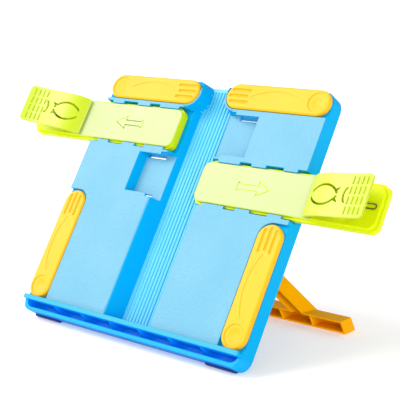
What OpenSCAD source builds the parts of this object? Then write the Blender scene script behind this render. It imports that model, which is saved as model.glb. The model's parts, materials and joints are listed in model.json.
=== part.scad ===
// Folding book stand: a moulded board with a ribbed trough for the book's spine, two sliding
// page-clip arms, four swing-out rests and a folding A-frame leg.
// Everything on the board is drawn flat: X across, Y up the board, Z out of its face.
// on_board() then leans it back and stands it on the floor, Z = 0.

/* [Board] */
// Width of the board
board_w = 206; // [200:1:216]
// Depth of the board, face to back
board_d = 15; // [14:0.5:17]
// Lean of the board, from level
board_lean = 57; // [56:1:64]
// Thickness of the moulded skin and floors
skin = 2.2; // [1.8:0.1:2.6]
// Radius of the top corners
corner_r = 9; // [6:0.5:10]
// Wall between the lower rests and the lower arm
low_divider = 3.8; // [3:0.1:6]
// Wall between the two arm channels
mid_divider = 1.8; // [1.4:0.1:3]
// Wall between the upper arm and the upper rests
top_divider = 2.3; // [2:0.1:4]

/* [Spine trough] */
// Width of the trough at the face
trough_w = 43.4; // [40:0.2:46]
// Width of the trough's floor
trough_floor_w = 29; // [26:0.5:32]
// Depth of the trough
trough_d = 12.8; // [11:0.1:12.8]
// Rounding of the trough's upper edges
trough_round = 3; // [1:0.2:3.4]
// Spacing of the ridges on its floor
ridge_pitch = 3; // [2.6:0.1:3.2]
// Number of ridges
ridge_n = 9; // [5:2:9]
// Height of a ridge
ridge_h = 0.8; // [0.5:0.1:1.2]
// Width of a ridge
ridge_w = 1.7; // [1.2:0.1:2]
// Plain band above the ridges
ridge_margin = 3; // [2:0.5:6]

/* [Lip and toe] */
// How far the lip stands out of the face
lip_out = 3.8; // [2.5:0.1:6]
// Thickness of the lip
lip_t = 2.4; // [1.8:0.1:2.8]
// Height of the bead along the lip's front edge
lip_bead = 0.9; // [0.5:0.1:1.2]
// Height of the open channel under the lip
toe_gap = 4.6; // [4:0.1:6]
// Thickness of the toe flange
toe_t = 3.2; // [2.4:0.1:3.6]
// Radius of the bottom corners
toe_r = 8; // [6:0.5:8]
// Set-back of the toe behind the face
toe_back = 1; // [0.6:0.1:2]
// Spacing of the gussets under the lip
gusset_pitch = 28; // [24:1:30]
// Thickness of a gusset
gusset_t = 1.4; // [1:0.1:2]
// Thickness of a foot pad
pad_t = 1.4; // [1.4:0.1:2.4]
// Length of a foot pad
pad_len = 24; // [18:1:36]
// Depth of a foot pad, from the board's back
pad_d = 5.6; // [4:0.2:8]
// Distance of a foot pad from the board's edge
pad_in = 8; // [8:0.5:14]

/* [Rests] */
// Length of a swing-out rest
rest_len = 89; // [80:1:92]
// Width of a rest
rest_w = 20; // [18:0.5:22]
// Thickness of a rest below the board's face
rest_t = 2.6; // [2.4:0.1:3.6]
// How far a rest stands proud of the face
rest_proud = 1; // [0.5:0.1:1.4]
// Gap round a rest in its well
rest_gap = 0.4; // [0.3:0.05:0.6]
// Finger room past the free end of a lower rest
finger_room = 0.8; // [0.5:0.1:3]
// Inset of a rest from the board's edge
rest_inset = 0.5; // [0.3:0.1:1]
// Radius of a rest's upper edges
rest_round = 1.6; // [0.8:0.1:2]
// Radius of the thumb dish
dish_r = 7.6; // [6:0.1:8]
// Depth of the thumb dish
dish_d = 1.4; // [0.8:0.1:1.5]
// Spacing of the finger grooves
groove_pitch = 4.7; // [4:0.1:5.2]
// Length of a finger groove
groove_len = 15; // [10:0.5:18]
// Length of the shallow hollow between the grooves and the dish
hollow_len = 46; // [36:1:48]
// Width of that hollow
hollow_w = 11; // [8:0.5:13]
// Radius of the pivot hub under a rest
hub_r = 4; // [3.5:0.1:5]
// Radius of the pivot screw's shank
screw_r = 1.5; // [1.25:0.05:1.75]

/* [Arms] */
// Width of an arm's top
arm_w = 31; // [28:0.5:32]
// Length of an arm
arm_len = 150; // [146:1:160]
// Height of an arm
arm_h = 7.2; // [6.6:0.1:7.6]
// Distance of an arm's inner end from the centre line
arm_in = 19; // [17:0.5:21]
// How much further out the left arm stands, and how much further in the right arm
arm_shift = 2; // [0:0.25:3]
// Step down from the arm's top to its flanges
arm_step = 2.8; // [2.6:0.1:3.4]
// Width of an arm's flange
arm_flange = 1.4; // [1:0.1:1.8]
// Extra width of the stop shoulder at the inner end
arm_shoulder = 0.8; // [0.6:0.1:1]
// Running gap beside and under an arm
arm_gap = 0.4; // [0.3:0.05:0.5]
// How far an arm pulls out from the middle of the two places
arm_out = 45; // [30:1:50]
// Radius of an arm's plan corners
arm_corner = 6; // [4:0.5:8]
// Thickness of a retaining tab
tab_t = 2.2; // [1.8:0.1:2.4]
// Length of a storage pocket past the trough's edge
pocket_len = 26.4; // [22:0.2:30]
// Slope of a pocket's end wall
pocket_slope = 2.9; // [1:0.1:4]

/* [Clips] */
// Distance of a clip's pivot from the arm's outer end
clip_back = 28; // [27.5:0.5:31]
// Height of the pivot above the arm's top
clip_pivot_h = 6.2; // [5.8:0.1:6.8]
// Length of a clip lever to each side of its pivot
clip_half = 26.6; // [24:0.2:28]
// Thickness of a lever
clip_t = 2; // [1.6:0.1:2.2]
// Height of the lever's grip end
clip_end_h = 20; // [18:0.2:21]
// Radius of a clip pin
clip_pin_r = 1.25; // [1:0.05:1.5]
// Thickness of the pivot ears
ear_t = 2; // [1.6:0.1:2.2]
// Spring wire diameter
wire_d = 0.9; // [0.7:0.05:1]
// Mean radius of the spring's coils
coil_r = 2.7; // [2.4:0.1:2.9]
// Turns in each of the two coils
coil_turns = 2; // [1:1:2]
// Width of the spring's U loop, between wire centres
loop_w = 3.4; // [3:0.1:4]

/* [Leg] */
// Height of the leg's hinge up the board
hinge_y = 100; // [94:1:104]
// Thickness of the leg
leg_t = 12; // [10:0.5:13]
// Angle between the open leg and the board
leg_open = 63; // [60:1:68]
// Width of the leg at its hinge
leg_neck = 40; // [32:1:42]
// Width over the struts where they meet the foot beam
leg_splay = 155; // [140:1:165]
// Width of a strut
strut_w = 11; // [9:0.5:14]
// Length of the foot beam
beam_len = 218; // [200:1:224]
// Height of the foot beam
beam_h = 11.6; // [10:0.2:14]
// Wall thickness of the leg's hollow side
leg_wall = 2; // [1.6:0.1:2.6]
// Radius of the leg's hinge pin
hinge_pin_r = 2; // [1.5:0.1:2.5]
// Radius of a hinge lug
lug_r = 4.8; // [4.2:0.1:5.2]
// Thickness of a hinge lug
lug_t = 4; // [3:0.2:5]
// Gap between the folded leg and the board's back
leg_gap = 0.5; // [0.3:0.1:1]

/* [Hidden] */
$fn = 48;

blue = "#4fb9f0";
lime = "#d6ee4a";
yellow = "#ffdc1e";
orange = "#fbb50a";
steel = "#9a9da0";
navy = "#12204a";

eps = 0.01;
over = 5;
pin_fit = 0.02;
pin_run = 0.06;
half_w = board_w / 2;

// Levels, measured down from the face
arm_proud = 0.2;
arm_floor = arm_h - arm_proud + 0.5;
well_floor = rest_t + 0.3;
toe_h = lip_t + toe_gap + toe_t;

// Chain of places up the board
channel_w = arm_w + 2 * (arm_flange + arm_shoulder + arm_gap);
well_r = rest_w / 2 + rest_gap;
low_rest_y = rest_gap;
low_well_top = low_rest_y + rest_len + rest_gap + finger_room;
low_arm_y = low_well_top + low_divider + channel_w / 2;
high_arm_y = low_arm_y + channel_w + mid_divider;
top_rest_y = high_arm_y + channel_w / 2 + top_divider + well_r;
board_h = top_rest_y + rest_w / 2 + rest_gap;
rest_reach = rest_len - rest_w;
pivot_x = half_w - rest_inset - rest_w / 2;
low_pivot_y = low_rest_y + rest_w / 2;

washer_r = hub_r + 2.4;

// Distance of a clip's pivot from the arm's inner end
clip_at = arm_len - clip_back;

// Half distance between a clip's pivot ears, room for the spring's coils between them
ear_y = ear_t + 4 * wire_d + loop_w / 2 + coil_turns * 1.5 * wire_d;

// Tabs that hold an arm down: distance from the centre line and length
tab_in = 5.3;
first_tab = trough_w / 2 + tab_in;
tabs = [[first_tab, 19.5], [first_tab + 29.5, 12.7], [first_tab + 57, 11.8]];
pocket_tab = [first_tab, pocket_len - tab_in];
tab_reach = arm_flange + arm_shoulder;
shoulder_len = 10;
stop_len = 4;
stop_x = arm_in + shoulder_len + arm_out;

// Place of the board and leg in the world, with a floor-flat face of this depth along the pads
pad_flat = 2;
board_z = (toe_h + pad_t) * sin(board_lean) + (board_d - pad_flat) * cos(board_lean);
hinge_z = -board_d - leg_t / 2 - leg_gap;
leg_angle = board_lean + leg_open;
hinge_world_y = hinge_y * cos(board_lean) - hinge_z * sin(board_lean);
hinge_world_z = hinge_y * sin(board_lean) + hinge_z * cos(board_lean) + board_z;
// Distance along the open leg to a height above the floor, on the plane z of its thickness
function leg_y(height, z) = (height - hinge_world_z - z * cos(leg_angle)) / sin(leg_angle);
front_y = -lip_t * cos(board_lean) - lip_out * sin(board_lean);
back_y = hinge_world_y + leg_y(0, -leg_t / 2) * cos(leg_angle) + leg_t / 2 * sin(leg_angle);
board_x = arm_shift;
board_y = -(front_y + back_y) / 2;

module on_board() {
    translate([board_x, board_y, board_z]) rotate([board_lean, 0, 0]) children();
}

module both_sides() {
    children();
    mirror([1, 0, 0]) children();
}

// The same for a flat outline
module both_ways() {
    children();
    mirror([1, 0]) children();
}

module box(low, high) {
    translate(low) cube(high - low);
}

// A profile drawn in X and Z, run along Y
module run_y(y0, y1) {
    translate([0, y1, 0]) rotate([90, 0, 0]) linear_extrude(y1 - y0) children();
}

// A profile drawn in Y and Z, run along X
module run_x(x0, x1) {
    translate([x0, 0, 0]) rotate([90, 0, 90]) linear_extrude(x1 - x0) children();
}

// A bar with round ends from one point to another, z0 to z1
module round_bar(from, to, r, z0, z1) {
    step = to - from;
    run = norm(step);
    translate([from.x, from.y, z0]) {
        cylinder(r = r, h = z1 - z0);
        translate([step.x, step.y, 0]) cylinder(r = r, h = z1 - z0);
        rotate([0, 0, atan2(step.y, step.x)]) translate([0, -r, 0]) cube([run, 2 * r, z1 - z0]);
    }
}

// Board

// Half of the board's plan, with its top corner rounded
module half_plan() {
    square([half_w - corner_r, board_h]);
    square([half_w, board_h - corner_r]);
    translate([half_w - corner_r, board_h - corner_r]) circle(corner_r);
}

// One side of the trough from its floor to the face, over a rounded edge
trough_turn = atan2(trough_d, (trough_w - trough_floor_w) / 2);
trough_side = concat([[trough_floor_w / 2, -trough_d]],
    [for (i = [0 : 6]) let (a = 90 + trough_turn * (1 - i / 6))
        [trough_w / 2 + trough_round * (tan(trough_turn / 2) + cos(a)), trough_round * (sin(a) - 1)]]);

module trough_cut() {
    top = trough_side[len(trough_side) - 1].x;
    run_y(0, board_h + over) both_ways() polygon(concat([[-eps, -trough_d]], trough_side,
        [[top, over], [-eps, over]]));
}

// Channel for the arm of this side, open at the board's edge
module arm_channel(y) {
    box([0, y - channel_w / 2, -arm_floor], [half_w + over, y + channel_w / 2, over]);
}

// Pocket that takes the inner end of the other side's arm
module arm_pocket(y) {
    end = trough_w / 2 + pocket_len;
    run_y(y - channel_w / 2, y + channel_w / 2) polygon([
        [0, -arm_floor], [end - pocket_slope, -arm_floor], [end, 0], [end, over], [0, over]]);
}

module top_well() {
    reach = rest_reach + rest_w / 2 + rest_gap;
    translate([pivot_x, top_rest_y, -well_floor]) {
        intersection() {
            cylinder(r = reach, h = over + well_floor);
            translate([-reach, 0, 0]) cube([reach, reach, over + well_floor]);
        }
        translate([-rest_reach, 0, 0]) cylinder(r = well_r, h = over + well_floor);
        translate([-rest_reach, -well_r, 0]) cube([rest_reach + well_r + over, 2 * well_r + over,
            over + well_floor]);
    }
}

module low_well() {
    box([pivot_x - well_r, 0, -well_floor], [half_w + over, low_well_top - well_r, over]);
    box([pivot_x, 0, -well_floor], [half_w + over, low_well_top, over]);
    translate([pivot_x, low_well_top - well_r, -well_floor]) cylinder(r = well_r, h = over + well_floor);
}

// Raised seat round the inner end of a top rest, standing in the trough
module top_seat() {
    seat_top = well_r + skin - 0.6;
    intersection() {
        translate([pivot_x - rest_reach, top_rest_y, -board_d])
            cylinder(r1 = seat_top + 3, r2 = seat_top, h = board_d);
        box([0, high_arm_y + channel_w / 2, -board_d], [half_w, board_h, 0]);
    }
}

module tab_pair(x, length, y) {
    for (side = [-1, 1])
        translate([x, y + side * (channel_w / 2 - tab_reach / 2) - tab_reach / 2, -tab_t])
            cube([length, tab_reach, tab_t]);
}

// Slots through the floor under the tabs, left by the mould's cores
module tab_slots(x, length, y) {
    slot = tab_reach + 1;
    for (side = [-1, 1])
        translate([x, y + side * (channel_w - slot) / 2 - slot / 2, -board_d - eps])
            cube([length, slot, board_d - arm_floor + 2 * eps]);
}

module stop_ribs(y) {
    for (side = [-1, 1])
        translate([stop_x, y + side * (channel_w / 2 - arm_shoulder / 2) - arm_shoulder / 2, -arm_floor])
            cube([stop_len, arm_shoulder, arm_floor - arm_step - arm_gap]);
}

// Hollows in the back of one half
module back_hollows(arm_y, pocket_y) {
    wall = skin;
    slope = (trough_w - trough_floor_w) / 2 / trough_d;
    inner = trough_w / 2 + skin;
    edge = half_w - wall;
    well_edge = pivot_x - well_r - wall;
    function inner_at(depth) = inner - slope * depth;
    module hollow(y0, y1, from, to, depth) {
        run_y(y0, y1) polygon([[from, -depth], [to, -depth], [to, -board_d - eps],
            [from - slope * (board_d - depth), -board_d - eps]]);
    }
    // behind the plain panel below the arms
    hollow(wall, low_arm_y - channel_w / 2 - wall, inner, well_edge, skin);
    // behind the lower rest's well
    box([well_edge + wall, wall, -board_d - eps],
        [edge, low_well_top + wall, -well_floor - skin]);
    // behind the arm's channel and the pocket
    hollow(arm_y - channel_w / 2, arm_y + channel_w / 2, inner_at(arm_floor), edge, arm_floor + skin);
    hollow(pocket_y - channel_w / 2, pocket_y + channel_w / 2, inner_at(arm_floor),
        trough_w / 2 + pocket_len, arm_floor + skin);
    box([trough_w / 2 + pocket_len + wall, pocket_y - channel_w / 2, -board_d - eps],
        [edge, pocket_y + channel_w / 2, -skin]);
    // behind the top rest's well
    box([pivot_x - rest_reach + well_r + 3, top_rest_y - well_r + wall, -board_d - eps],
        [edge - corner_r / 3, board_h - wall, -well_floor - skin]);
    // room for the pivot washers
    for (y = [top_rest_y, low_pivot_y]) translate([pivot_x, y, -board_d - eps])
        cylinder(r = washer_r + 0.6, h = board_d - well_floor - skin + eps);
}

module half_board(arm_y, pocket_y) {
    difference() {
        union() {
            difference() {
                translate([0, 0, -board_d]) linear_extrude(board_d) half_plan();
                trough_cut();
                arm_channel(arm_y);
                arm_pocket(pocket_y);
            }
            top_seat();
            for (t = tabs) tab_pair(t[0], t[1], arm_y);
            tab_pair(pocket_tab[0], pocket_tab[1], pocket_y);
            stop_ribs(arm_y);
        }
        top_well();
        low_well();
        back_hollows(arm_y, pocket_y);
        for (t = tabs) tab_slots(t[0], t[1], arm_y);
        tab_slots(pocket_tab[0], pocket_tab[1] - pocket_slope, pocket_y);
        for (y = [top_rest_y, low_pivot_y])
            translate([pivot_x, y, -board_d]) cylinder(r = hub_r + pin_run, h = board_d);
    }
}

module ridges() {
    ridge_r = (ridge_w * ridge_w / 4 + ridge_h * ridge_h) / (2 * ridge_h);
    spread = asin(ridge_w / 2 / ridge_r);
    for (i = [0 : ridge_n - 1])
        translate([(i - (ridge_n - 1) / 2) * ridge_pitch, 0, -trough_d - eps])
            run_y(0, board_h - ridge_margin) polygon([for (k = [-3 : 3])
                ridge_r * [sin(k * spread / 3), cos(k * spread / 3)] + [0, ridge_h - ridge_r]]);
}

// Lip in X and Z from a depth to its front edge, the front corners rounded
module lip_plan(from) {
    r = 3.4;
    intersection() {
        translate([-half_w, from]) square([board_w, lip_out - from]);
        both_ways() {
            translate([-eps, -board_d]) square([half_w - r + eps, board_d + lip_out]);
            translate([-eps, -board_d]) square([half_w + eps, board_d + lip_out - r]);
            translate([half_w - r, lip_out - r]) circle(r);
        }
    }
}

// Outline of the toe under the lip with its bottom corners rounded, drawn in by a wall
module toe_plan(inset) both_ways() {
    translate([-eps, -toe_h + inset]) square([half_w - toe_r + eps, toe_h - inset]);
    translate([-eps, -toe_h + toe_r]) square([half_w - inset + eps, toe_h - toe_r]);
    translate([half_w - toe_r, -toe_h + toe_r]) intersection() {
        circle(toe_r - inset);
        translate([-eps, -toe_r]) square([toe_r + eps, toe_r + eps]);
    }
}

// Bottom rail: the lip, the open channel under it with its gussets, and the toe flange
module bottom_rail() {
    web = skin;
    bead_w = 1.6;
    run_y(-lip_t, eps) lip_plan(-board_d);
    run_y(0, lip_bead) lip_plan(lip_out - bead_w);
    difference() {
        translate([0, 0, -board_d]) linear_extrude(board_d - toe_back) toe_plan(0);
        translate([0, 0, -board_d + web]) linear_extrude(board_d) intersection() {
            toe_plan(toe_t);
            translate([-half_w, -toe_h]) square([board_w, toe_h - lip_t]);
        }
    }
    gussets = 2 * floor((half_w - skin) / gusset_pitch);
    for (i = [0 : gussets - 1])
        translate([(i - (gussets - 1) / 2) * gusset_pitch - gusset_t / 2, 0, 0])
            run_x(0, gusset_t) polygon([[-lip_t + eps, lip_out - lip_t], [-lip_t + eps, -board_d + eps],
                [-toe_h + toe_t - eps, -board_d + eps], [-toe_h + toe_t - eps, -board_d + 2 * web]]);
}

// Lugs on the back that carry the leg
module hinge_lugs() {
    base_t = board_d - trough_d + 0.4;
    base_w = leg_neck + 2 * lug_t + 3;
    box([-base_w / 2, hinge_y - 3 * lug_r, -board_d], [base_w / 2, hinge_y + 3 * lug_r, -board_d + base_t]);
    difference() {
        both_sides() translate([leg_neck / 2 + 0.4, 0, 0]) {
            box([0, hinge_y - lug_r, hinge_z], [lug_t, hinge_y + lug_r, -board_d + base_t]);
            translate([0, hinge_y, hinge_z]) rotate([0, 90, 0]) cylinder(r = lug_r, h = lug_t);
        }
        translate([-board_w / 2, hinge_y, hinge_z]) rotate([0, 90, 0])
            cylinder(r = hinge_pin_r + pin_fit, h = board_w);
    }
}

module board() color(blue) on_board() {
    half_board(low_arm_y, high_arm_y);
    mirror([1, 0, 0]) half_board(high_arm_y, low_arm_y);
    ridges();
    bottom_rail();
    hinge_lugs();
}

// Pads under the ends of the toe, their back edge cut to stand flat on the floor
module front_foot_pads() color(navy) on_board() both_sides()
    run_x(half_w - pad_in - pad_len, half_w - pad_in) polygon([
        [-toe_h, -board_d], [-toe_h - pad_t + pad_flat / tan(board_lean), -board_d],
        [-toe_h - pad_t, -board_d + pad_flat], [-toe_h - pad_t, -board_d + pad_d],
        [-toe_h, -board_d + pad_d]]);

// Arms, drawn for the right-hand side with the inner end at arm_in

// Plan of a length of arm with round corners at the ends
module arm_plan(width, x0, x1, r) {
    for (x = [x0 + r, x1 - r], y = [-1, 1] * (width / 2 - r)) translate([x, y]) circle(r);
    translate([x0 + r, -width / 2]) square([x1 - x0 - 2 * r, width]);
    translate([x0, -width / 2 + r]) square([x1 - x0, width - 2 * r]);
}

module arm_body() {
    x1 = arm_in + arm_len;
    base_w = arm_w + 2 * arm_flange;
    wall = 2;
    top = arm_proud;
    pivot = arm_in + clip_at;
    ear_r = clip_pin_r + 1.5;
    difference() {
        union() {
            translate([0, 0, top - arm_h]) linear_extrude(arm_h - arm_step)
                arm_plan(base_w, arm_in, x1, arm_corner);
            translate([0, 0, top - arm_step - eps]) linear_extrude(arm_step + eps)
                arm_plan(arm_w, arm_in, x1 - arm_flange, arm_corner);
            // stop shoulder at the inner end
            box([arm_in + arm_corner, -base_w / 2 - arm_shoulder, top - arm_h],
                [arm_in + shoulder_len, base_w / 2 + arm_shoulder, top - arm_step]);
            // pivot ears under the clip
            for (side = [-1, 1]) translate([pivot, side * ear_y - ear_t / 2, top]) {
                box([-ear_r - 1.5, 0, -1], [ear_r + 1.5, ear_t, clip_pivot_h - ear_r / 2]);
                translate([0, 0, clip_pivot_h]) rotate([-90, 0, 0]) cylinder(r = ear_r, h = ear_t);
            }
        }
        // hollow underside with two cross ribs
        bay = (arm_len - 2 * wall) / 3;
        for (i = [0 : 2])
            translate([arm_in + wall + i * bay + wall / 2, -arm_w / 2 + wall, top - arm_h - eps])
                cube([bay - wall, arm_w - 2 * wall, arm_h - wall - 0.4]);
        translate([pivot, -arm_w, top + clip_pivot_h]) rotate([-90, 0, 0])
            cylinder(r = clip_pin_r + pin_run, h = 2 * arm_w);
    }
}

module right_arm() color(lime) on_board() translate([-arm_shift, low_arm_y, 0]) arm_body();
module left_arm() color(lime) on_board() mirror([1, 0, 0]) translate([arm_shift, high_arm_y, 0]) arm_body();

// Clips, drawn about the pivot: X outwards along the arm, Z up from the arm's top

lever_steps = 20;
// Curve of the lever's upper face, from the jaw to the grip
lever_curve = [[-clip_half - 0.4, clip_t * 0.85], [-clip_half * 0.64, clip_pivot_h + 6.8],
    [clip_half * 0.15, clip_pivot_h + 4.8], [clip_half, clip_end_h]];
function curve_at(t) = pow(1 - t, 3) * lever_curve[0] + 3 * t * pow(1 - t, 2) * lever_curve[1]
    + 3 * t * t * (1 - t) * lever_curve[2] + pow(t, 3) * lever_curve[3];
function curve_way(t) = let (d = curve_at(t + 0.01) - curve_at(t - 0.01)) d / norm(d);
function curve_under(t, depth) = let (w = curve_way(t)) curve_at(t) + depth * [w.y, -w.x];

module lever_profile() {
    polygon(concat(
        [for (i = [0 : lever_steps]) curve_at(i / lever_steps)],
        [for (i = [lever_steps : -1 : 0]) curve_under(i / lever_steps, clip_t)]));
}

// Lens-shaped tongue of the lever: curved slits beside it, and a curved slit behind its tail
module tongue_slits() {
    slit = 1.3;
    nose = 4 - clip_half;
    waist = 0;
    lens_h = 6.4;
    half = (waist - nose) / 2;
    r = (half * half + lens_h * lens_h) / (2 * lens_h);
    for (side = [-1, 1]) {
        intersection() {
            translate([(nose + waist) / 2, side * (lens_h - r)]) difference() {
                circle(r + slit);
                circle(r);
            }
            translate([nose + 0.9, side > 0 ? 0.6 : -lens_h - 2]) square([waist - nose + 0.1, lens_h + 1.4]);
        }
        polygon([[waist - 3.6, side * 3.4], [waist + 2.6, side * 5.6], [waist, side * 2]]);
    }
    intersection() {
        translate([14.4, 0]) difference() {
            circle(9);
            circle(9 - slit);
        }
        translate([4, -5.4]) square([7, 10.8]);
    }
}

module lever() {
    width = arm_w;
    cheek_r = clip_pin_r + 1.4;
    cheek_y = ear_y + ear_t / 2 + 0.3;
    difference() {
        union() {
            intersection() {
                translate([0, width / 2, 0]) rotate([90, 0, 0]) linear_extrude(width) lever_profile();
                translate([0, 0, -over]) linear_extrude(clip_end_h + 2 * over)
                    arm_plan(width, -clip_half - 1, clip_half + 0.4, 4);
            }
            // cheeks that carry the pin
            for (side = [-1, 1]) translate([0, side > 0 ? cheek_y : -cheek_y - ear_t, clip_pivot_h]) {
                rotate([-90, 0, 0]) cylinder(r = cheek_r, h = ear_t);
                box([-cheek_r, 0, 0], [cheek_r, ear_t, curve_at(0.585).y - clip_t / 2 - clip_pivot_h]);
            }
            // grip bars
            for (i = [0 : 3], j = [0 : 3]) {
                t = 0.76 + i * 0.06;
                p = curve_at(t);
                w = curve_way(t);
                translate([p.x, (j - 1.5) * 7, p.y]) rotate([0, -atan2(w.y, w.x), 0])
                    translate([-0.65, -2.7, -1]) cube([1.3, 5.4, 1.8]);
            }
        }
        translate([0, 0, -over]) linear_extrude(clip_end_h + 2 * over) tongue_slits();
        translate([0, -width, clip_pivot_h]) rotate([-90, 0, 0])
            cylinder(r = clip_pin_r + pin_fit, h = 2 * width);
    }
}

module clip_pin() {
    half = ear_y + ear_t / 2 + 0.3 + ear_t;
    translate([0, -half, clip_pivot_h]) rotate([-90, 0, 0]) cylinder(r = clip_pin_r, h = 2 * half);
}

// Double torsion spring: two coils round the pin, joined by a U loop that lies on the arm,
// and two ends that push up under the lever's grip
coil_step = 1.5 * wire_d;
loop_x = clip_half - 4.4;
coil_y0 = loop_w / 2;
coil_y1 = coil_y0 + (coil_turns + 0.55) * coil_step;
lie = wire_d / 2 + 0.05;
rings_per_turn = 8;
end_t = 0.8;
function lever_under(t) = let (p = curve_under(t, clip_t + wire_d / 2 + 0.1)) p;
function coil_point(a, y) = [coil_r * sin(a), y, clip_pivot_h - coil_r * cos(a)];
// Half of the spring's centre line, from the middle of the U loop to the end under the lever
half_route = concat(
    [for (i = [0 : 4]) let (a = i * 90 / 4)
        [loop_x + coil_y0 * cos(a), coil_y0 * sin(a), lie]],
    [for (x = [0.75, 0.5]) [loop_x * x, coil_y0, lie]],
    [[loop_x * 0.22, coil_y0, (lie + clip_pivot_h - coil_r) / 2]],
    [for (i = [0 : coil_turns * rings_per_turn + 4]) let (a = -i * 360 / rings_per_turn)
        coil_point(a, coil_y0 + i * coil_step / rings_per_turn)],
    [let (p = lever_under(end_t)) [p.x * 0.5, coil_y1, (p.y + clip_pivot_h + coil_r) / 2 - 0.2]],
    [let (p = lever_under(end_t)) [p.x, coil_y1, p.y - 0.3]]);
half_n = len(half_route);
spring_route = concat(
    [for (i = [half_n - 1 : -1 : 1]) [half_route[i].x, -half_route[i].y, half_route[i].z]], half_route);
function way(path, i) = let (n = len(path) - 1,
    d = path[min(i + 1, n)] - path[max(i - 1, 0)]) d / norm(d);
// Carry a cross-section along the path without twist
function carry(path, i, side) = let (t = way(path, i), s = side - (side * t) * t) s / norm(s);
function frames(path, i = 0, side = [0, 0, 1], list = []) = i == len(path) ? list :
    let (s = carry(path, i, side)) frames(path, i + 1, s, concat(list, [s]));

module tube(path, r, sides) {
    sections = frames(path);
    n = len(path);
    points = [for (i = [0 : n - 1]) let (t = way(path, i), s = sections[i], c = cross(t, s))
        for (k = [0 : sides - 1]) path[i] + r * (cos(k * 360 / sides) * s + sin(k * 360 / sides) * c)];
    walls = [for (i = [0 : n - 2], k = [0 : sides - 1]) let (a = i * sides + k,
        b = i * sides + (k + 1) % sides) for (f = [[a, b + sides, b], [a, a + sides, b + sides]]) f];
    caps = [for (k = [1 : sides - 2]) for (f = [[0, k, k + 1],
        [(n - 1) * sides, (n - 1) * sides + k + 1, (n - 1) * sides + k]]) f];
    polyhedron(points, concat(walls, caps), convexity = 6);
}

// Least gap between stretches of the spring's wire that aren't neighbours along it
spring_gap = min([for (i = [0 : len(spring_route) - 1], j = [i + 1 : len(spring_route) - 1])
    j - i > 4 ? norm(spring_route[i] - spring_route[j]) - wire_d : 99]);
echo(spring_gap = spring_gap);

module clip_spring() tube(spring_route, wire_d / 2, 6);

module at_right_clip() on_board()
    translate([arm_in - arm_shift + clip_at, low_arm_y, arm_proud]) children();
module at_left_clip() on_board() mirror([1, 0, 0])
    translate([arm_in + arm_shift + clip_at, high_arm_y, arm_proud]) children();

module right_clip_lever() color(lime) at_right_clip() lever();
module left_clip_lever() color(lime) at_left_clip() lever();
module right_clip_pin() color(steel) at_right_clip() clip_pin();
module left_clip_pin() color(steel) at_left_clip() clip_pin();
module right_clip_spring() color(steel) at_right_clip() clip_spring();
module left_clip_spring() color(steel) at_left_clip() clip_spring();

// Rests, drawn about the pivot with the free end along +X

hub_end = well_floor + skin + 0.3;
washer_t = 1;
head_t = 1.8;
head_r = 2 * screw_r;
rest_skin = 2.2;

// Half of a rest's cross-section, its upper edge rounded
module rest_section() {
    translate([0, -rest_t]) square([rest_w / 2 - rest_round, rest_t + rest_proud]);
    translate([0, -rest_t]) square([rest_w / 2, rest_t + rest_proud - rest_round]);
    translate([rest_w / 2 - rest_round, rest_proud - rest_round]) circle(rest_round);
}

module rest() {
    difference() {
        union() {
            difference() {
                union() {
                    for (x = [0, rest_reach]) translate([x, 0, 0]) rotate_extrude() rest_section();
                    run_x(0, rest_reach) both_ways() rest_section();
                }
                round_bar([0, 0], [rest_reach, 0], rest_w / 2 - 1.8, -rest_t - eps, rest_proud - rest_skin);
            }
            translate([0, 0, -rest_t]) cylinder(r = dish_r, h = rest_t + rest_proud - eps);
            translate([0, 0, -hub_end]) cylinder(r = hub_r, h = hub_end);
            // stiffening rib under the length
            box([0, -0.8, -rest_t], [rest_reach, 0.8, 0]);
        }
        dish_ball = (dish_r * dish_r + dish_d * dish_d) / (2 * dish_d);
        translate([0, 0, rest_proud - dish_d + dish_ball]) sphere(r = dish_ball, $fn = 96);
        translate([0, 0, rest_proud - dish_d / 2]) cylinder(r = dish_r, h = dish_d);
        // shallow hollow, a lens between two arcs
        bow = (hollow_len * hollow_len + hollow_w * hollow_w) / (4 * hollow_w);
        translate([rest_reach / 2, 0, rest_proud - 0.3]) intersection_for (side = [-1, 1])
            translate([0, side * (bow - hollow_w / 2), 0]) cylinder(r = bow, h = over, $fn = 180);
        // finger grooves
        for (i = [-1, 0, 1])
            translate([rest_reach + rest_w / 2 - 3.2 - 1.6 * abs(i), i * groove_pitch, rest_proud + 0.1])
                rotate([0, -90, 0]) {
                    cylinder(r = 1.2, h = groove_len);
                    translate([0, 0, groove_len]) sphere(r = 1.2);
                    sphere(r = 1.2);
                }
        translate([0, 0, -hub_end - eps]) cylinder(r = screw_r + pin_fit, h = hub_end - 2 + eps);
    }
}

module washer() {
    translate([0, 0, -hub_end - washer_t]) difference() {
        cylinder(r = washer_r, h = washer_t);
        translate([0, 0, -eps]) cylinder(r = screw_r + 0.15, h = washer_t + 2 * eps);
    }
}

module pivot_screw() {
    top = -hub_end - washer_t;
    difference() {
        union() {
            translate([0, 0, top]) cylinder(r = screw_r, h = hub_end + washer_t - 2.4);
            translate([0, 0, top - head_t]) cylinder(r1 = head_r * 0.8, r2 = head_r, h = head_t);
        }
        // cross recess
        for (a = [0, 90]) rotate([0, 0, a]) translate([-1.4, -0.35, top - head_t - eps]) cube([2.8, 0.7, 1]);
    }
}

module at_top_right() on_board() translate([pivot_x, top_rest_y, 0]) rotate([0, 0, 180]) children();
module at_top_left() on_board() translate([-pivot_x, top_rest_y, 0]) children();
module at_bottom_right() on_board() translate([pivot_x, low_pivot_y, 0]) rotate([0, 0, 90]) children();
module at_bottom_left() on_board() translate([-pivot_x, low_pivot_y, 0]) rotate([0, 0, 90]) children();

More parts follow.
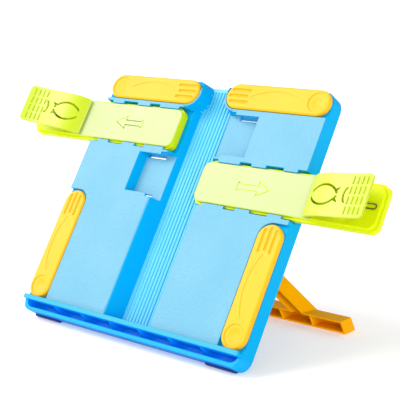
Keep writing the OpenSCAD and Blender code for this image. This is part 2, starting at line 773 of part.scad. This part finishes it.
module top_left_rest() color(yellow) at_top_left() rest();
module top_right_rest() color(yellow) at_top_right() rest();
module bottom_left_rest() color(yellow) at_bottom_left() rest();
module bottom_right_rest() color(yellow) at_bottom_right() rest();
module top_left_washer() color(steel) at_top_left() washer();
module top_right_washer() color(steel) at_top_right() washer();
module bottom_left_washer() color(steel) at_bottom_left() washer();
module bottom_right_washer() color(steel) at_bottom_right() washer();
module top_left_screw() color(steel) at_top_left() pivot_screw();
module top_right_screw() color(steel) at_top_right() pivot_screw();
module bottom_left_screw() color(steel) at_bottom_left() pivot_screw();
module bottom_right_screw() color(steel) at_bottom_right() pivot_screw();

// Leg, drawn folded flat: the hinge at the origin, the foot along -Y, its hollow side up towards the board

neck_r = leg_t / 2 + leg_gap - 0.2;
strut_start = -lug_r - 1.2;

// Section of the foot beam between two heights above the floor, set in by a wall
module beam_section(h0, h1, inset, depth) {
    front = leg_t / 2 - inset + depth;
    back = -leg_t / 2 + inset;
    polygon([[leg_y(h0, back), back], [leg_y(h0, front), front], [leg_y(h1, front), front],
        [leg_y(h1, back), back]]);
}

// Plan of a strut from the neck to the beam, drawn in by a wall
module strut_plan(inset) {
    x0 = leg_neck / 2;
    x1 = leg_splay / 2;
    y1 = leg_y(beam_h / 2, 0);
    lean = atan2(x1 - x0, strut_start - leg_y(beam_h, 0));
    across = strut_w / cos(lean);
    trim = inset / cos(lean);
    x2 = x0 + (strut_start - y1) * tan(lean);
    polygon([[x0 - trim, strut_start], [x2 - trim, y1], [x2 - across + trim, y1],
        [x0 - across + trim, strut_start]]);
}

module leg_solid() {
    both_sides() translate([0, 0, -leg_t / 2]) linear_extrude(leg_t) strut_plan(0);
    run_x(-beam_len / 2, beam_len / 2) beam_section(0, beam_h, 0, 0);
    // neck, its barrel and the heel that stops against the board's back when open
    box([-leg_neck / 2, strut_start - strut_w / 2, -leg_t / 2], [leg_neck / 2, 0, leg_t / 2]);
    translate([-leg_neck / 2, 0, 0]) rotate([0, 90, 0]) cylinder(r = neck_r, h = leg_neck);
    stop = [[neck_r * sin(leg_open), neck_r * cos(leg_open)]];
    heel = (neck_r - leg_t / 2 * -cos(leg_open)) / sin(leg_open);
    run_x(-leg_neck / 2, leg_neck / 2) polygon(concat([[0, 0]], stop, [[heel, -leg_t / 2], [0, -leg_t / 2]]));
}

module leg() color(orange) on_board() translate([0, hinge_y, hinge_z]) rotate([leg_open, 0, 0])
    difference() {
        leg_solid();
        // hollow side, with ribs left across the beam
        bays = 8;
        bay = (beam_len - leg_wall) / bays;
        for (i = [0 : bays - 1])
            run_x(-beam_len / 2 + leg_wall + i * bay, -beam_len / 2 + (i + 1) * bay)
                beam_section(leg_wall, beam_h - leg_wall, leg_wall, leg_wall + over);
        both_sides() translate([0, 0, -leg_t / 2 + leg_wall]) linear_extrude(leg_t) difference() {
            strut_plan(leg_wall);
            translate([0, leg_y(beam_h - leg_wall, 0) - over]) square([beam_len, over + leg_wall]);
        }
        translate([-beam_len, 0, 0]) rotate([0, 90, 0]) cylinder(r = hinge_pin_r + pin_run, h = 2 * beam_len);
    }

module leg_hinge_pin() color(steel) on_board()
    translate([-leg_neck / 2 - 0.4 - lug_t, hinge_y, hinge_z]) rotate([0, 90, 0])
        cylinder(r = hinge_pin_r, h = leg_neck + 0.8 + 2 * lug_t);

board();
front_foot_pads();
left_arm();
right_arm();
left_clip_lever();
right_clip_lever();
left_clip_pin();
right_clip_pin();
left_clip_spring();
right_clip_spring();
top_left_rest();
top_right_rest();
bottom_left_rest();
bottom_right_rest();
top_left_washer();
top_right_washer();
bottom_left_washer();
bottom_right_washer();
top_left_screw();
top_right_screw();
bottom_left_screw();
bottom_right_screw();
leg();
leg_hinge_pin();
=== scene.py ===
# %% [markdown]
# # A folding book stand, dressed for the studio
#
# The solids of this stand come from a CAD model: a leaning board, two sliding arms with page clips, four
# swing-out rests and a folding leg. A CAD solid has knife-sharp edges and no finish. Real moulded plastic
# has a small radius on every edge, because a mould with sharp corners wears and sticks, and that radius
# is what catches the light. This script softens the edges, sinks an arrow into each arm and gives each
# plastic its finish, all in the CAD model's own frame, in metres.

import json
import math

import bmesh
import bpy
from mathutils import Matrix, Vector


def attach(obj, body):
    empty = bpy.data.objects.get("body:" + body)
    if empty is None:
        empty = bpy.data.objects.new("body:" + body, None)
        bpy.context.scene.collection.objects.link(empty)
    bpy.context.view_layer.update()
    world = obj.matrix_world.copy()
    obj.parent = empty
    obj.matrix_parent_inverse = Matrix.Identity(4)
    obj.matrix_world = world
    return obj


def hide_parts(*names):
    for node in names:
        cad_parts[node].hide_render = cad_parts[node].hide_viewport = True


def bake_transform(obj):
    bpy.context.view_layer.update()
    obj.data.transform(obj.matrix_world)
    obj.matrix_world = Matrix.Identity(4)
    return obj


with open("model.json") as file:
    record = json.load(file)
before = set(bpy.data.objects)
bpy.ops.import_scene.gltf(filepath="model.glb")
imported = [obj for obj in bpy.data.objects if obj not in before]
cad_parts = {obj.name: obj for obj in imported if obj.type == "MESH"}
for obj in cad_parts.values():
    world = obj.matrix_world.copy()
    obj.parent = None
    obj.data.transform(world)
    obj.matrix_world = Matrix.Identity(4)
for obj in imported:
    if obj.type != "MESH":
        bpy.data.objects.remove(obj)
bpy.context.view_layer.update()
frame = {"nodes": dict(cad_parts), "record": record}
MM = 0.001
nodes = frame["nodes"]

# %% [markdown]
# The board leans back from the floor, and most of what is added here lies on it. One matrix turns a
# place given on the flat board (across, up the board, out of its face, in millimetres) into the room.

# %% Place of the board
BOARD_LEAN = math.radians(57)
BOARD_FOOT = Vector((2, -63.147, 16.809)) * MM
BOARD_TALL = 191.7
ON_BOARD = Matrix.Translation(BOARD_FOOT) @ Matrix.Rotation(BOARD_LEAN, 4, "X") @ Matrix.Scale(MM, 4)
print("top edge of the board:", [round(v, 4) for v in ON_BOARD @ Vector((0, BOARD_TALL, 0))])

# %% [markdown]
# The photograph was taken with a long lens from the right of the board and a little above it. The place,
# the turn and the focal length were worked out from the board's own edges, so the camera needs no shift.

# %% Camera
CAMERA_PLACE = Vector((499.6, -586.7, 254.5)) * MM
CAMERA_AZIMUTH = math.radians(39.35)
CAMERA_DOWN = math.radians(11.78)
camera_data = bpy.data.cameras.new("camera")
camera_data.sensor_width = 36
camera_data.lens = 96.65
camera_data.clip_end = 100
camera = bpy.data.objects.new("camera", camera_data)
camera.location = CAMERA_PLACE
camera.rotation_euler = (math.radians(90) - CAMERA_DOWN, 0, CAMERA_AZIMUTH)
bpy.context.scene.collection.objects.link(camera)
bpy.context.scene.camera = camera
print("camera distance:", round(CAMERA_PLACE.length, 3))

# %% [markdown]
# A catalogue picture like this one is lit from all round: a large softbox high on the left, a lower one
# beside it that glances off the curved clips, one on the right for the side walls and the leg, and white
# walls that fill the shadows. A sun with a wide angle does the work of a softbox and lights the whole
# floor evenly, so the floor runs out to white behind the stand. The world is the white walls.

# %% Softboxes and white walls
SOFTBOX_WIDTH = math.radians(40)
WALL_LIGHT = 0.62
SOFTBOXES = (("high_left", (-0.62, -0.50, 0.72), 2.2), ("low_left", (-0.92, -0.10, 0.36), 0.6),
             ("right", (0.75, -0.60, 0.25), 1.5))
for name, comes_from, energy in SOFTBOXES:
    softbox_data = bpy.data.lights.new("softbox_" + name, "SUN")
    softbox_data.energy = energy
    softbox_data.angle = SOFTBOX_WIDTH
    softbox = bpy.data.objects.new("softbox_" + name, softbox_data)
    softbox.rotation_euler = Vector(comes_from).to_track_quat("Z", "Y").to_euler()
    bpy.context.scene.collection.objects.link(softbox)

world = bpy.data.worlds.new("white_walls")
bpy.context.scene.world = world
world.use_nodes = True
walls = world.node_tree.nodes["Background"]
walls.inputs["Color"].default_value = (1, 1, 1, 1)
walls.inputs["Strength"].default_value = WALL_LIGHT
bpy.context.scene.view_settings.view_transform = "Standard"
print("softboxes:", len(SOFTBOXES), "light of the walls:", WALL_LIGHT)

# %% [markdown]
# The stand is set on a wide sheet of paper. A grid of one face is enough for something flat, and its edges
# lie so far away that they meet the walls at the horizon.

# %% Floor
FLOOR_SIZE = 40
floor_mesh = bpy.data.meshes.new("floor")
floor_shape = bmesh.new()
bmesh.ops.create_grid(floor_shape, x_segments=1, y_segments=1, size=FLOOR_SIZE)
floor_shape.to_mesh(floor_mesh)
floor_shape.free()
floor = bpy.data.objects.new("floor", floor_mesh)
bpy.context.scene.collection.objects.link(floor)
print("floor faces:", len(floor_mesh.polygons))

# %% [markdown]
# ## Finishes
#
# A colour is written as the sRGB hex value that a colour picker shows, and one function turns it to the
# linear values that Blender's sockets take. One more function adds a node to a material, with its
# settings and links, so that each finish below reads as a list of what it is made of.

# %% Colour and node helpers
def linear(hex_colour):
    """The linear RGBA of an sRGB hex colour."""
    parts = [int(hex_colour[i:i + 2], 16) / 255 for i in (1, 3, 5)]
    return [v / 12.92 if v <= 0.04045 else ((v + 0.055) / 1.055) ** 2.4 for v in parts] + [1]


def add_node(tree, kind, settings=None, links=None):
    """Add a node of a kind to a tree, set its sockets or properties, and link its inputs."""
    node = tree.nodes.new(kind)
    for name, value in (settings or {}).items():
        if name in node.inputs:
            node.inputs[name].default_value = value
        else:
            setattr(node, name, value)
    for name, socket in (links or {}).items():
        tree.links.new(socket, node.inputs[name])
    return node


def per_metre(millimetres):
    """The scale of a texture whose features are this many millimetres across."""
    return 1 / (millimetres * MM)


print("white in linear values:", linear("#FFFFFF"))

# %% [markdown]
# ABS is the plastic of toy bricks: dense, even in colour and slightly waxy. The mould's faces were
# spark-eroded, which leaves a fine even grain. The real grain is about 0.2 mm, too fine for this picture,
# so it is drawn 1.8 mm wide. A second, broad pattern varies the sheen by a few per cent, as the flow of
# plastic does. Each coloured piece of the stand is the same plastic with its own pigment and polish.

# %% Moulded ABS
ABS_IOR = 1.53
FLOW_MM, GRAIN_MM = 38, 1.8
SHEEN_SPREAD = 0.04


def moulded_abs(name, pigment, shade, roughness, gloss, grain_depth_mm):
    """ABS of one pigment: broad flow marks in colour and sheen, and the mould's fine grain."""
    material = bpy.data.materials.new(name)
    material.use_nodes = True
    tree = material.node_tree
    surface = tree.nodes["Principled BSDF"]
    surface.inputs["IOR"].default_value = ABS_IOR
    surface.inputs["Specular IOR Level"].default_value = gloss
    place = add_node(tree, "ShaderNodeTexCoord").outputs["Object"]
    flow = add_node(tree, "ShaderNodeTexNoise",
                    {"Scale": per_metre(FLOW_MM), "Detail": 3.0, "Roughness": 0.45},
                    {"Vector": place}).outputs["Fac"]
    grain = add_node(tree, "ShaderNodeTexNoise",
                     {"Scale": per_metre(GRAIN_MM), "Detail": 2.0, "Roughness": 0.6},
                     {"Vector": place}).outputs["Fac"]
    colour = add_node(tree, "ShaderNodeMix",
                      {"data_type": "RGBA", "A": linear(pigment), "B": linear(shade)}, {"Factor": flow})
    tree.links.new(colour.outputs[2], surface.inputs["Base Color"])
    sheen = add_node(tree, "ShaderNodeMapRange",
                     {"From Min": 0.3, "From Max": 0.7,
                      "To Min": roughness - SHEEN_SPREAD, "To Max": roughness + SHEEN_SPREAD},
                     {"Value": flow})
    tree.links.new(sheen.outputs["Result"], surface.inputs["Roughness"])
    bump = add_node(tree, "ShaderNodeBump", {"Strength": 0.5, "Distance": grain_depth_mm * MM},
                    {"Height": grain})
    tree.links.new(bump.outputs["Normal"], surface.inputs["Normal"])
    return material


# Name, pigment, flow marks, roughness, gloss, and depth of the grain in millimetres
smooth_blue_abs = moulded_abs("sky_blue_abs_smooth", "#00A7E4", "#00A1DE", 0.42, 0.03, 0.02)
# Paler blue for the grained faces: painted sheen, the reflection of the high softbox
grained_sheen_blue_abs = moulded_abs("sky_blue_abs_grained_painted_sheen", "#66AAC5", "#5EA5C3", 0.50, 0.40, 0.90)
# Lighter blue for the ridges: painted light against the trough's shade
lit_ridge_blue_abs = moulded_abs("sky_blue_abs_ridges_painted_light", "#50C2E2", "#48BEE0", 0.36, 0.40, 0.02)
# Paler blue for the lip: painted sheen
matt_sheen_lip_blue_abs = moulded_abs("sky_blue_abs_matt_painted_sheen", "#47AECB", "#41AAC8", 0.60, 0.05, 0.04)
# Deeper blue for the toe: painted shade where it turns down under the lip
shaded_toe_blue_abs = moulded_abs("sky_blue_abs_toe_painted_shade", "#0081D4", "#007CCE", 0.42, 0.03, 0.02)
# Deeper blue for the channel under the lip: painted shade, with a smoother polish
polished_shaded_channel_blue_abs = moulded_abs("sky_blue_abs_polished_painted_shade", "#00A4FF", "#009EFA", 0.30, 0.08, 0.01)
smooth_lime_abs = moulded_abs("lime_abs_smooth", "#D8E606", "#CFE004", 0.38, 0.12, 0.02)
# Paler lime for the arms' tops: painted sheen
sheen_lime_abs = moulded_abs("lime_abs_painted_sheen", "#B9C686", "#B5C37F", 0.46, 0.40, 0.06)
lever_lime_abs = moulded_abs("lime_abs_polished", "#C0D416", "#B8CE0E", 0.28, 0.50, 0.02)
yellow_abs = moulded_abs("warm_yellow_abs_satin", "#F5B70C", "#F0B006", 0.40, 0.20, 0.03)
orange_abs = moulded_abs("orange_abs_satin", "#F9AC00", "#F4A500", 0.42, 0.02, 0.03)
print("plastics:", [m.name for m in bpy.data.materials if "_abs_" in m.name])

# %% [markdown]
# The pins, screws and washers are zinc-plated steel, which is grey and slightly cloudy. The springs are
# drawn wire, which keeps a darker skin from the heat that set its springiness. Both are a metal whose
# colour and roughness change together in small patches, so one function makes both.

# %% Steel
WEAR_SPREAD = 0.08


def clouded_metal(name, bright, dull, roughness, cloud_mm):
    """A metal with small bright and dull patches, as plating or heat leaves them."""
    material = bpy.data.materials.new(name)
    material.use_nodes = True
    tree = material.node_tree
    surface = tree.nodes["Principled BSDF"]
    surface.inputs["Metallic"].default_value = 1
    place = add_node(tree, "ShaderNodeTexCoord").outputs["Object"]
    cloud = add_node(tree, "ShaderNodeTexNoise", {"Scale": per_metre(cloud_mm), "Detail": 4.0},
                     {"Vector": place}).outputs["Fac"]
    colour = add_node(tree, "ShaderNodeMix",
                      {"data_type": "RGBA", "A": linear(bright), "B": linear(dull)}, {"Factor": cloud})
    tree.links.new(colour.outputs[2], surface.inputs["Base Color"])
    wear = add_node(tree, "ShaderNodeMapRange",
                    {"To Min": roughness - WEAR_SPREAD, "To Max": roughness + WEAR_SPREAD},
                    {"Value": cloud})
    tree.links.new(wear.outputs["Result"], surface.inputs["Roughness"])
    return material


# Name, bright and dull patches, roughness, and width of a patch in millimetres
plated_steel = clouded_metal("zinc_plated_steel", "#C9CBCC", "#A3A6A8", 0.34, 1.5)
spring_wire = clouded_metal("drawn_spring_wire", "#8C8A6E", "#5F5C45", 0.36, 0.8)
print("metals:", plated_steel.name, spring_wire.name)

# %% [markdown]
# The foot pads are cut from sheet rubber. It is dull and gritty, because the fine powder that fills it
# scatters light. The grit is drawn 1.2 mm wide, coarser than the real powder, so that it shows at all. Its
# navy is painted shade: the pads sit under the toe's ends and take the colour of the shaded underside
# there.

# %% Rubber
GRIT_MM = 1.2
shaded_pad_rubber = bpy.data.materials.new("navy_rubber_painted_shade")
shaded_pad_rubber.use_nodes = True
rubber_tree = shaded_pad_rubber.node_tree
rubber_surface = rubber_tree.nodes["Principled BSDF"]
rubber_surface.inputs["IOR"].default_value = 1.5
rubber_place = add_node(rubber_tree, "ShaderNodeTexCoord").outputs["Object"]
rubber_grit = add_node(rubber_tree, "ShaderNodeTexNoise", {"Scale": per_metre(GRIT_MM), "Detail": 3.0},
                       {"Vector": rubber_place}).outputs["Fac"]
rubber_colour = add_node(rubber_tree, "ShaderNodeMix",
                         {"data_type": "RGBA", "A": linear("#0C2A78"), "B": linear("#143488")},
                         {"Factor": rubber_grit})
rubber_tree.links.new(rubber_colour.outputs[2], rubber_surface.inputs["Base Color"])
rubber_rough = add_node(rubber_tree, "ShaderNodeMapRange", {"To Min": 0.62, "To Max": 0.82},
                        {"Value": rubber_grit})
rubber_tree.links.new(rubber_rough.outputs["Result"], rubber_surface.inputs["Roughness"])
print("rubber:", shaded_pad_rubber.name)

# %% [markdown]
# The floor is matt white paper, a trace warmer than pure white. In a catalogue picture it is also lit from
# below, so that it comes out white while the stand isn't overlit. A weak light of its own does that here.

# %% Paper floor
floor_paper = bpy.data.materials.new("white_paper_floor")
floor_paper.use_nodes = True
paper_surface = floor_paper.node_tree.nodes["Principled BSDF"]
paper_surface.inputs["Base Color"].default_value = linear("#F7F1EC")
paper_surface.inputs["Roughness"].default_value = 0.9
paper_surface.inputs["Specular IOR Level"].default_value = 0.1
paper_surface.inputs["Emission Color"].default_value = (1, 1, 1, 1)
paper_surface.inputs["Emission Strength"].default_value = 0.27
floor.data.materials.append(floor_paper)
print("floor:", floor_paper.name)

# %% [markdown]
# ## Softened mouldings
#
# Every moulded piece is made from a copy of its solid. The copy's loose triangles are merged and its flat
# faces joined, and then each sharp edge gets a small radius with the bevel operator. An edge is left
# sharp where the faces beside it are too narrow to hold the radius, such as the sides of a slit, because
# a bevel there would fold over itself. Weighted normals keep the large faces flat to the eye.

# %% Soften the edges of a solid
MERGE_DISTANCE, SAME_PLANE = 0.002 * MM, math.radians(0.4)
SHARP_ANGLE, SHADE_ANGLE = math.radians(32), math.radians(38)
# The share of a side edge's length that runs across the sharp edge, and the radii that a face has to hold
CROSSING, ROOM = 0.3, 2.05


def merged(mesh):
    """A bmesh of a solid with its loose triangles merged and its flat faces joined."""
    shape = bmesh.new()
    shape.from_mesh(mesh)
    bmesh.ops.remove_doubles(shape, verts=shape.verts, dist=MERGE_DISTANCE)
    bmesh.ops.dissolve_limit(shape, angle_limit=SAME_PLANE, verts=shape.verts, edges=shape.edges,
                             use_dissolve_boundaries=False, delimit=set())
    return shape


def has_room(edge, radius):
    """Whether the faces beside an edge are wide enough to take a radius."""
    along = (edge.verts[1].co - edge.verts[0].co).normalized()
    for loop in edge.link_loops:
        for side in (loop.link_loop_prev.edge, loop.link_loop_next.edge):
            reach = side.verts[1].co - side.verts[0].co
            across = (reach - along * reach.dot(along)).length
            if reach.length > 0 and CROSSING * reach.length < across < ROOM * radius:
                return False
    return True


def soften(node, radius_mm, material, mesh=None, keep=lambda spot: True):
    """Stand a copy of a solid, or of a mesh made from it, with rounded edges in for the solid itself."""
    shape = merged(mesh or nodes[node].data)
    radius = radius_mm * MM
    sharp = [e for e in shape.edges if e.is_manifold and e.calc_face_angle() > SHARP_ANGLE
             and has_room(e, radius) and keep((e.verts[0].co + e.verts[1].co) / 2)]
    bmesh.ops.bevel(shape, geom=sharp, offset=radius, offset_type="OFFSET", segments=2, profile=0.5,
                    affect="EDGES", clamp_overlap=False, material=-1)
    for face in shape.faces:
        face.smooth = True
    moulded = bpy.data.meshes.new(node + "_moulded")
    shape.to_mesh(moulded)
    shape.free()
    moulded.set_sharp_from_angle(angle=SHADE_ANGLE)
    moulded.materials.append(material)
    piece = bpy.data.objects.new(node + "_moulded", moulded)
    bpy.context.scene.collection.objects.link(piece)
    normals = piece.modifiers.new("flat_faces", "WEIGHTED_NORMAL")
    normals.keep_sharp = True
    body = next(name for name, group in frame["record"]["behaviour"]["bodies"].items() if node in group)
    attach(piece, body)
    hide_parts(node)
    print(node, "edges rounded:", len(sharp), "faces:", len(moulded.polygons))
    return piece


# %% [markdown]
# The mould for such a part is polished where it slides or shows from the side, and etched with a fine
# grain where a page lies on it. Some second finishes are paler or deeper copies of a pigment, which paint
# the sheen and the shade that the softboxes leave on those faces. A face is picked for a second finish by
# its place on the board and by its slope, which is 1 where it points straight out of the board and 0 where
# it is a wall.

# %% Second finishes
to_board = ON_BOARD.inverted()
out_of_board = ON_BOARD.to_3x3().col[2].normalized()


def finish_faces(piece, material, picks):
    """Give the faces of a piece that a test of place and slope picks a second finish."""
    piece.data.materials.append(material)
    slot = len(piece.data.materials) - 1
    picked = [f for f in piece.data.polygons if picks(to_board @ f.center, f.normal.dot(out_of_board))]
    for face in picked:
        face.material_index = slot
    print(piece.name, "faces in", material.name + ":", len(picked))


print("out of the board:", [round(v, 4) for v in out_of_board])

# %% [markdown]
# The board is one large moulding, and two of its shapes are made ready on a copy of the solid before its
# small edges. The toe's front edge is what a hand meets under the lip, so it gets a large radius. The
# trough's floor is drawn level: the solid is 0.4 mm thicker for a short way in front of the leg's hinge,
# and the eye would see that as a seam across the ridges. The thick floor is moved down to the rest, the
# vertices that then meet are merged, and the long edges of the ridges' lowest facets, which the thick
# floor had covered, are drawn again.

# %% Board with a round toe and a level trough
TOE_TOP, TOE_BACK, TOE_RADIUS, TOE_TURN = -7.2, -2, 2.2, math.radians(60)
HALF_FLOOR, ABOVE_RIDGES = 15.5, -11
THICK_FLOOR, LEVEL_FLOOR, LOW_FACET = -12.4, -12.8, -12.41
MARGIN, SAME_LEVEL, NEAR_LEVEL, SAME_PLACE = 0.1, 0.005, 0.05, 0.3


def on_toe_front(edge):
    """Whether an edge of the board runs along the bottom of the toe's front face."""
    ends = [to_board @ v.co for v in edge.verts]
    return all(end.y < TOE_TOP and end.z > TOE_BACK for end in ends)


def in_trough(spot):
    """Whether a place on the board lies on the ridged floor of the trough."""
    return (abs(spot.x) < HALF_FLOOR and spot.y > -MARGIN
            and LEVEL_FLOOR - MARGIN < spot.z < ABOVE_RIDGES)


def trough_verts(shape, level, within):
    """The vertices of a board that lie in its trough at a level."""
    spots = [(v, to_board @ v.co) for v in shape.verts]
    return [v for v, spot in spots if in_trough(spot) and abs(spot.z - level) < within]


board_shape = merged(nodes["board"].data)
toe_edges = [e for e in board_shape.edges if e.calc_face_angle(0) > TOE_TURN and on_toe_front(e)]
bmesh.ops.bevel(board_shape, geom=toe_edges, offset=TOE_RADIUS * MM, offset_type="OFFSET", segments=5,
                profile=0.5, affect="EDGES", clamp_overlap=True, material=-1)
for vert in trough_verts(board_shape, THICK_FLOOR, SAME_LEVEL):
    vert.co += (LEVEL_FLOOR - THICK_FLOOR) * MM * out_of_board
bmesh.ops.remove_doubles(board_shape, verts=trough_verts(board_shape, LEVEL_FLOOR, NEAR_LEVEL),
                         dist=SAME_PLACE * MM)
facet_ends = trough_verts(board_shape, LOW_FACET, SAME_LEVEL)
bmesh.ops.connect_verts(board_shape, verts=facet_ends)
print("toe edges rounded:", len(toe_edges), "facet ends joined:", len(facet_ends))
board_blank = bpy.data.meshes.new("board_blank")
board_shape.to_mesh(board_blank)
board_shape.free()

# %% [markdown]
# The board's edges are small, half a millimetre, so that the retaining tabs stay crisp and a page still
# doesn't catch on them. The ridges are too fine for a radius, so their few flat sides are shaded flat. The
# panels and the pockets' floors are grained, and their paler blue is painted sheen, the whitish reflection
# of the high softbox. The ridges get a lighter blue, which is painted light where the trough falls into
# shade, and the lip a paler matt blue, which is painted sheen. The toe's deeper blue is painted shade,
# where it turns down under the lip. The open channel between lip and toe is polished, because the core that
# forms it has to slide out, and its deeper blue is painted shade as well.

# %% Board
BOARD_EDGE = 0.5
FLAT, RIDGE_SIDE = 0.9, 0.2
BELOW_PANEL, CHANNEL_FLOOR, LOW_ROW, HIGH_ROW, HALF_CHANNEL = -1, -8, 112.5, 150.5, 18.2
LIP_FRONT, LIP_UNDER, TOE_FRONT, HALF_TOE = 3, -2.35, -0.9, 95


def is_grained_with_sheen(spot, slope):
    """Whether a face belongs to the panels or the floors of the two pockets."""
    row = LOW_ROW if spot.x < 0 else HIGH_ROW
    in_pocket = spot.z > CHANNEL_FLOOR and abs(spot.y - row) < HALF_CHANNEL
    return slope > FLAT and spot.y > 0 and (spot.z > BELOW_PANEL or in_pocket)


def is_channel(spot, slope):
    """Whether a face belongs to the open channel between the lip and the toe."""
    return TOE_TOP < spot.y < LIP_UNDER and spot.z < TOE_FRONT


board = soften("board", BOARD_EDGE, smooth_blue_abs, board_blank,
               lambda spot: not in_trough(to_board @ spot))
for face in board.data.polygons:
    face.use_smooth = not in_trough(to_board @ face.center)
finish_faces(board, grained_sheen_blue_abs, is_grained_with_sheen)
finish_faces(board, lit_ridge_blue_abs, lambda spot, slope: slope > RIDGE_SIDE and in_trough(spot))
finish_faces(board, matt_sheen_lip_blue_abs, lambda spot, slope: spot.z > LIP_FRONT)
finish_faces(board, shaded_toe_blue_abs, lambda spot, slope: spot.y < TOE_TOP and abs(spot.x) < HALF_TOE)
finish_faces(board, polished_shaded_channel_blue_abs, is_channel)

# %% [markdown]
# Each arm carries an arrow that shows which way it pulls out, drawn in its top as a fine groove. The arrow
# is a flat outline with a flared tail and swept-back barbs. Inset and without its middle it is a ring, and
# the ring is pushed up to a solid that stands through the arm's top, ready to be cut out of it. The extrude
# adds the ring's walls in an order that changes from run to run, and the edges of the cut arm would round a
# little differently each time, so the walls are sorted.

# %% Arrow tool
ARM_TOP, GROOVE_DEEP, GROOVE_WIDE, TOOL_TALL = 0.2, 0.5, 0.65, 2
TAIL, SHAFT_FROM, BARBS, NECK, TIP = 53.5, 57, 70.3, 71.5, 82
TAIL_HALF, SHAFT_HALF, HEAD_HALF = 4, 2.3, 6.2
arrow_half = [(TAIL, TAIL_HALF), (SHAFT_FROM, SHAFT_HALF), (NECK, SHAFT_HALF), (BARBS, HEAD_HALF),
              (TIP, 0)]
arrow_outline = arrow_half + [(along, -half) for along, half in arrow_half[-2::-1]]


def sort_walls(shape):
    """Put the walls of an extruded shape after its caps, in the order of their corners' numbers."""
    shape.normal_update()
    shape.verts.index_update()
    shape.faces.index_update()
    walls = [face for face in shape.faces if abs(face.normal.dot(out_of_board)) < FLAT]
    walls.sort(key=lambda wall: sorted(v.index for v in wall.verts))
    for index, wall in enumerate(walls, len(shape.faces) - len(walls)):
        wall.index = index
    shape.faces.sort()


def arrow_tool(hand, pulled_out, up_board):
    """A ring in the shape of an arrow that stands through the top of the arm of one hand."""
    shape = bmesh.new()
    corners = [ON_BOARD @ Vector((hand * (along + pulled_out), up_board + half, ARM_TOP - GROOVE_DEEP))
               for along, half in arrow_outline]
    middle = shape.faces.new([shape.verts.new(corner) for corner in corners])
    shape.normal_update()
    bmesh.ops.inset_region(shape, faces=[middle], thickness=GROOVE_WIDE * MM, use_boundary=True,
                           use_even_offset=True)
    bmesh.ops.delete(shape, geom=[middle], context="FACES")
    top = bmesh.ops.extrude_face_region(shape, geom=shape.faces[:])
    bmesh.ops.translate(shape, vec=out_of_board * TOOL_TALL * MM,
                        verts=[v for v in top["geom"] if isinstance(v, bmesh.types.BMVert)])
    bmesh.ops.recalc_face_normals(shape, faces=shape.faces)
    sort_walls(shape)
    mesh = bpy.data.meshes.new("arrow_tool")
    shape.to_mesh(mesh)
    shape.free()
    return bpy.data.objects.new("arrow_tool", mesh)


print("corners of the arrow:", len(arrow_outline))

# %% [markdown]
# The boolean modifier cuts the arrow out of a copy of the arm, and the copy then goes the way of the other
# mouldings. Its top edges get a large radius, and the edges below the step stay sharp, because they run in
# the board's channel. In the photograph the left arm is pulled out a little further than the right one, so
# its arrow is too. The bare top gets a paler lime as far as the clip, where a cut across the arm ends it.
# The paleness is painted sheen, and it stops at the clip because the clip shades the arm's outer end.

# %% Arms with their arrows
ARM_EDGE, ARM_STEP, UNDER_CLIP, ARM_SHIFT = 0.9, -2.5, 118, 2


def is_sheened_top(spot, slope):
    """Whether a face belongs to an arm's top, inward of its clip."""
    return slope > FLAT and spot.z > 0 and abs(spot.x) < UNDER_CLIP


for node, hand, pulled_out, up_board in (("left_arm", -1, ARM_SHIFT, HIGH_ROW),
                                         ("right_arm", 1, -ARM_SHIFT, LOW_ROW)):
    tool = arrow_tool(hand, pulled_out, up_board)
    blank = bpy.data.objects.new("arm_blank", nodes[node].data.copy())
    for helper in (tool, blank):
        bpy.context.scene.collection.objects.link(helper)
    cut = blank.modifiers.new("arrow", "BOOLEAN")
    cut.object = tool
    carved = bpy.data.meshes.new_from_object(blank.evaluated_get(bpy.context.evaluated_depsgraph_get()))
    for helper in (tool, blank):
        bpy.data.objects.remove(helper)
    arm = soften(node, ARM_EDGE, smooth_lime_abs, carved,
                 lambda spot: (to_board @ spot).z > ARM_STEP)
    split = bmesh.new()
    split.from_mesh(arm.data)
    bmesh.ops.bisect_plane(split, geom=split.verts[:] + split.edges[:] + split.faces[:],
                           plane_no=(1, 0, 0), plane_co=ON_BOARD @ Vector((hand * UNDER_CLIP, 0, 0)))
    split.to_mesh(arm.data)
    split.free()
    finish_faces(arm, sheen_lime_abs, is_sheened_top)

# %% [markdown]
# The levers have thin walls, so their edges are as small as the board's. The rests are pushed out of their
# wells with a thumb and already have a large radius in the solid, so only what is still sharp is softened.
# The leg is gripped when the stand is folded, and its thick bars take a rounder edge.

# %% Clips, rests and leg
LEVER_EDGE, REST_EDGE, LEG_EDGE = 0.5, 0.3, 0.8
for side in ("left", "right"):
    soften(side + "_clip_lever", LEVER_EDGE, lever_lime_abs)
for place in ("top_left", "top_right", "bottom_left", "bottom_right"):
    soften(place + "_rest", REST_EDGE, yellow_abs)
soften("leg", LEG_EDGE, orange_abs)

# %% [markdown]
# Each clip is shut by a double torsion spring: two coils round the pin, a U loop that lies on the arm and
# two legs that push the grip up. A copy of the solid, in spring wire and shaded smooth, stands in for it
# where it is.

# %% Clip springs
for side in ("left", "right"):
    node = side + "_clip_spring"
    wire = bpy.data.objects.new(node + "_wire", nodes[node].data.copy())
    bpy.context.scene.collection.objects.link(wire)
    wire.data.materials.clear()
    wire.data.materials.append(spring_wire)
    wire.data.shade_smooth()
    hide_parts(node)
    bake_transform(wire)
    print(wire.name, "faces:", len(wire.data.polygons))

# %% [markdown]
# Pins, screws, washers and pads keep their own solids, which already have the right shape, and only take a
# finish.

# %% Finishes of the solids that stay
kept_solids = {name: plated_steel for name in nodes if name.endswith(("_pin", "_screw", "_washer"))}
kept_solids["front_foot_pads"] = shaded_pad_rubber
for name, finish in kept_solids.items():
    nodes[name].material_slots[0].material = finish
print("solids that stay:", len(kept_solids))
